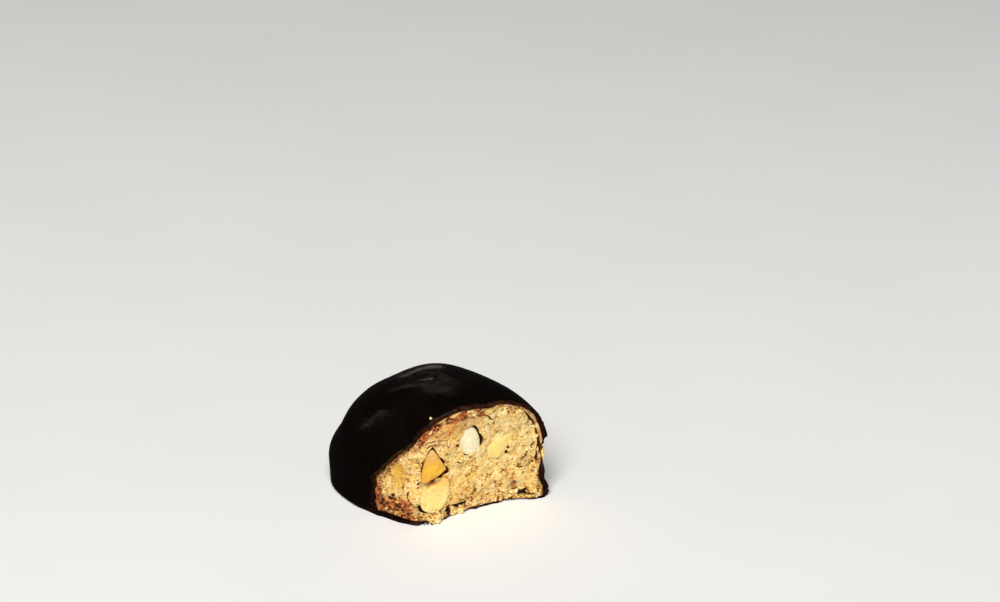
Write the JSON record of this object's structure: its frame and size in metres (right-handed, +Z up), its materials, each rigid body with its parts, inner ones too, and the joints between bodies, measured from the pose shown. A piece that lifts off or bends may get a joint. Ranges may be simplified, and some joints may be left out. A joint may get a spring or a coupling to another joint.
{
  "type": "half of a chocolate-coated polvoron",
  "caption": "Half of a loaf-shaped crumbly almond shortbread in a thin dark chocolate coat, broken across so that its pale crumb and chopped almonds show.",
  "frame": {"origin": "middle of the footprint, on the surface that the half bar rests on", "axes": "+Z up; +Y from the break towards the round end; -Y is the broken side; +X to the right of someone who faces the break"},
  "size_m": [0.0298, 0.0396, 0.0264],
  "materials": {
    "chocolate": "satin dark chocolate",
    "crumb": "dry, matt, crumbly shortbread",
    "almond_white": "matt peeled almond",
    "almond_yellow": "matt cut almond, slightly oily",
    "almond_golden": "toasted cut almond with a reddish skin edge",
    "almond_olive": "grainy almond, dull yellow"
  },
  "bodies": {
    "root": {"coat": "chocolate", "crumb": "crumb", "almond_upper": "almond_white", "almond_sliver": "almond_yellow", "almond_wedge": "almond_golden", "almond_lower": "almond_yellow", "almond_flank": "almond_olive"}
  },
  "joints": []
}
